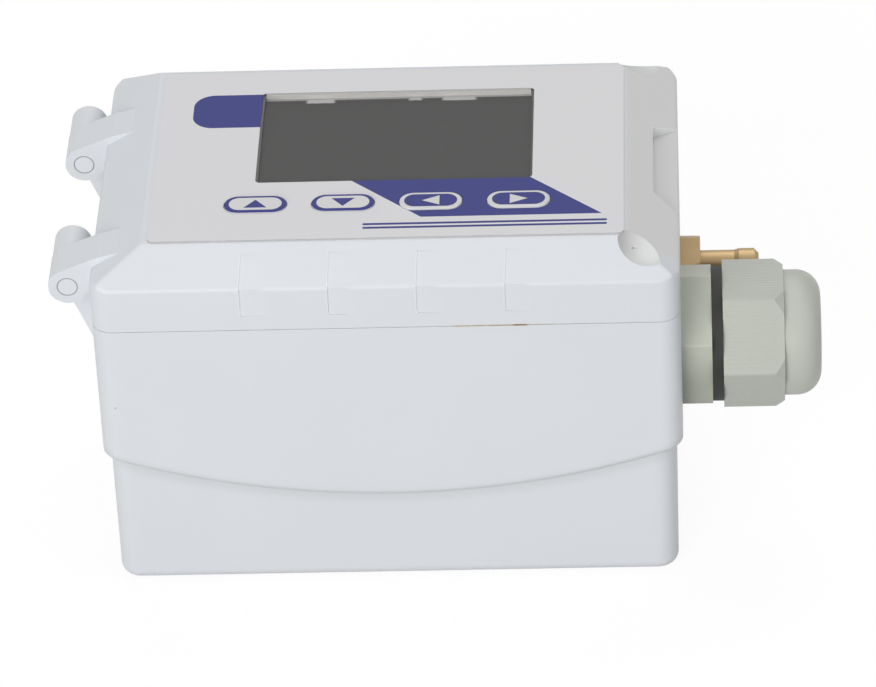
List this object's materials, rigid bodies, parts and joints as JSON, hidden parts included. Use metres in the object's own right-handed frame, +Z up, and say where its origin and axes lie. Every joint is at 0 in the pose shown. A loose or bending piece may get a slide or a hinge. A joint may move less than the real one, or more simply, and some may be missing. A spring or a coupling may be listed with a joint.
{
  "type": "pressure_sensor",
  "caption": "Wall-mount pressure sensor in a white hinged plastic case with display window, membrane keys, cable gland and brass hose barb",
  "frame": {"origin": "middle of the flat underside of the case", "axes": "+X points out of the wall that carries the cable gland and hose barb, +Y points from the key row towards the far edge of the display, +Z points up through the lid"},
  "size_m": [0.13, 0.0664, 0.0671],
  "materials": {
    "case_white": "fine satin moulded plastic, cool white",
    "pin_white": "moulded white pin",
    "seal_black": "matte black rubber",
    "label_film": "satin printed film",
    "window_clear": "clear film",
    "key_film": "embossed satin film",
    "board_green": "green solder mask",
    "screw_steel": "zinc plated",
    "terminal_green": "moulded plastic",
    "part_black": "moulded plastic",
    "capacitor_sleeve": "printed sleeve",
    "sensor_grey": "moulded plastic",
    "hose_clear": "milky silicone",
    "brass": "turned",
    "fibre_red": "pressed fibre",
    "gland_grey": "moulded polyamide",
    "display_dark": "display glass, switched off",
    "backlight_white": "moulded frame",
    "ribbon_grey": "flat cable",
    "stem_black": "moulded plastic"
  },
  "bodies": {
    "base": {"base_housing": "case_white", "lid_gasket": "seal_black", "hinge_pins": "pin_white", "main_board": "board_green", "main_board_screws": "screw_steel", "terminal_block": "terminal_green", "terminal_screws": "screw_steel", "board_header": "part_black", "controller_chip": "part_black", "filter_capacitor": "capacitor_sleeve", "sensor_module": "sensor_grey", "sensor_hose": "hose_clear", "hose_barb": "brass", "barb_washer": "fibre_red", "barb_nut": "brass", "gland_body": "gland_grey", "gland_ring": "seal_black", "gland_seal": "seal_black", "gland_locknut": "gland_grey"},
    "lid": {"lid_cover": "case_white", "face_label": "label_film", "window_film": "window_clear", "display_board": "board_green", "display_board_screws": "screw_steel", "display_glass": "display_dark", "backlight": "backlight_white", "switch_housings": "part_black", "display_header": "part_black", "ribbon_cable": "ribbon_grey"},
    "key_up_body": {"key_up": "key_film", "switch_stem_up": "stem_black"},
    "key_down_body": {"key_down": "key_film", "switch_stem_down": "stem_black"},
    "key_left_body": {"key_left": "key_film", "switch_stem_left": "stem_black"},
    "key_right_body": {"key_right": "key_film", "switch_stem_right": "stem_black"},
    "gland_nut": {"gland_cap": "gland_grey"}
  },
  "joints": [
    {"name": "lid_hinge", "type": "hinge", "parent": "base", "child": "lid", "pos_m": [-0.0536, 0, 0.0575], "axis": [0, -1, 0], "range_deg": [0, 180], "deforming": ["ribbon_cable"]},
    {"name": "key_up_press", "type": "slide", "parent": "lid", "child": "key_up_body", "axis": [0, 0, -1], "range_m": [0, 0.0004], "stiffness_N_per_m": 400, "springref_m": -0.001},
    {"name": "key_down_press", "type": "slide", "parent": "lid", "child": "key_down_body", "axis": [0, 0, -1], "range_m": [0, 0.0004], "stiffness_N_per_m": 400, "springref_m": -0.001},
    {"name": "key_left_press", "type": "slide", "parent": "lid", "child": "key_left_body", "axis": [0, 0, -1], "range_m": [0, 0.0004], "stiffness_N_per_m": 400, "springref_m": -0.001},
    {"name": "key_right_press", "type": "slide", "parent": "lid", "child": "key_right_body", "axis": [0, 0, -1], "range_m": [0, 0.0004], "stiffness_N_per_m": 400, "springref_m": -0.001},
    {"name": "gland_nut_turn", "type": "hinge", "parent": "base", "child": "gland_nut", "pos_m": [0.062, -0.016, 0.03855], "axis": [1, 0, 0], "range_deg": [0, 360]}
  ]
}
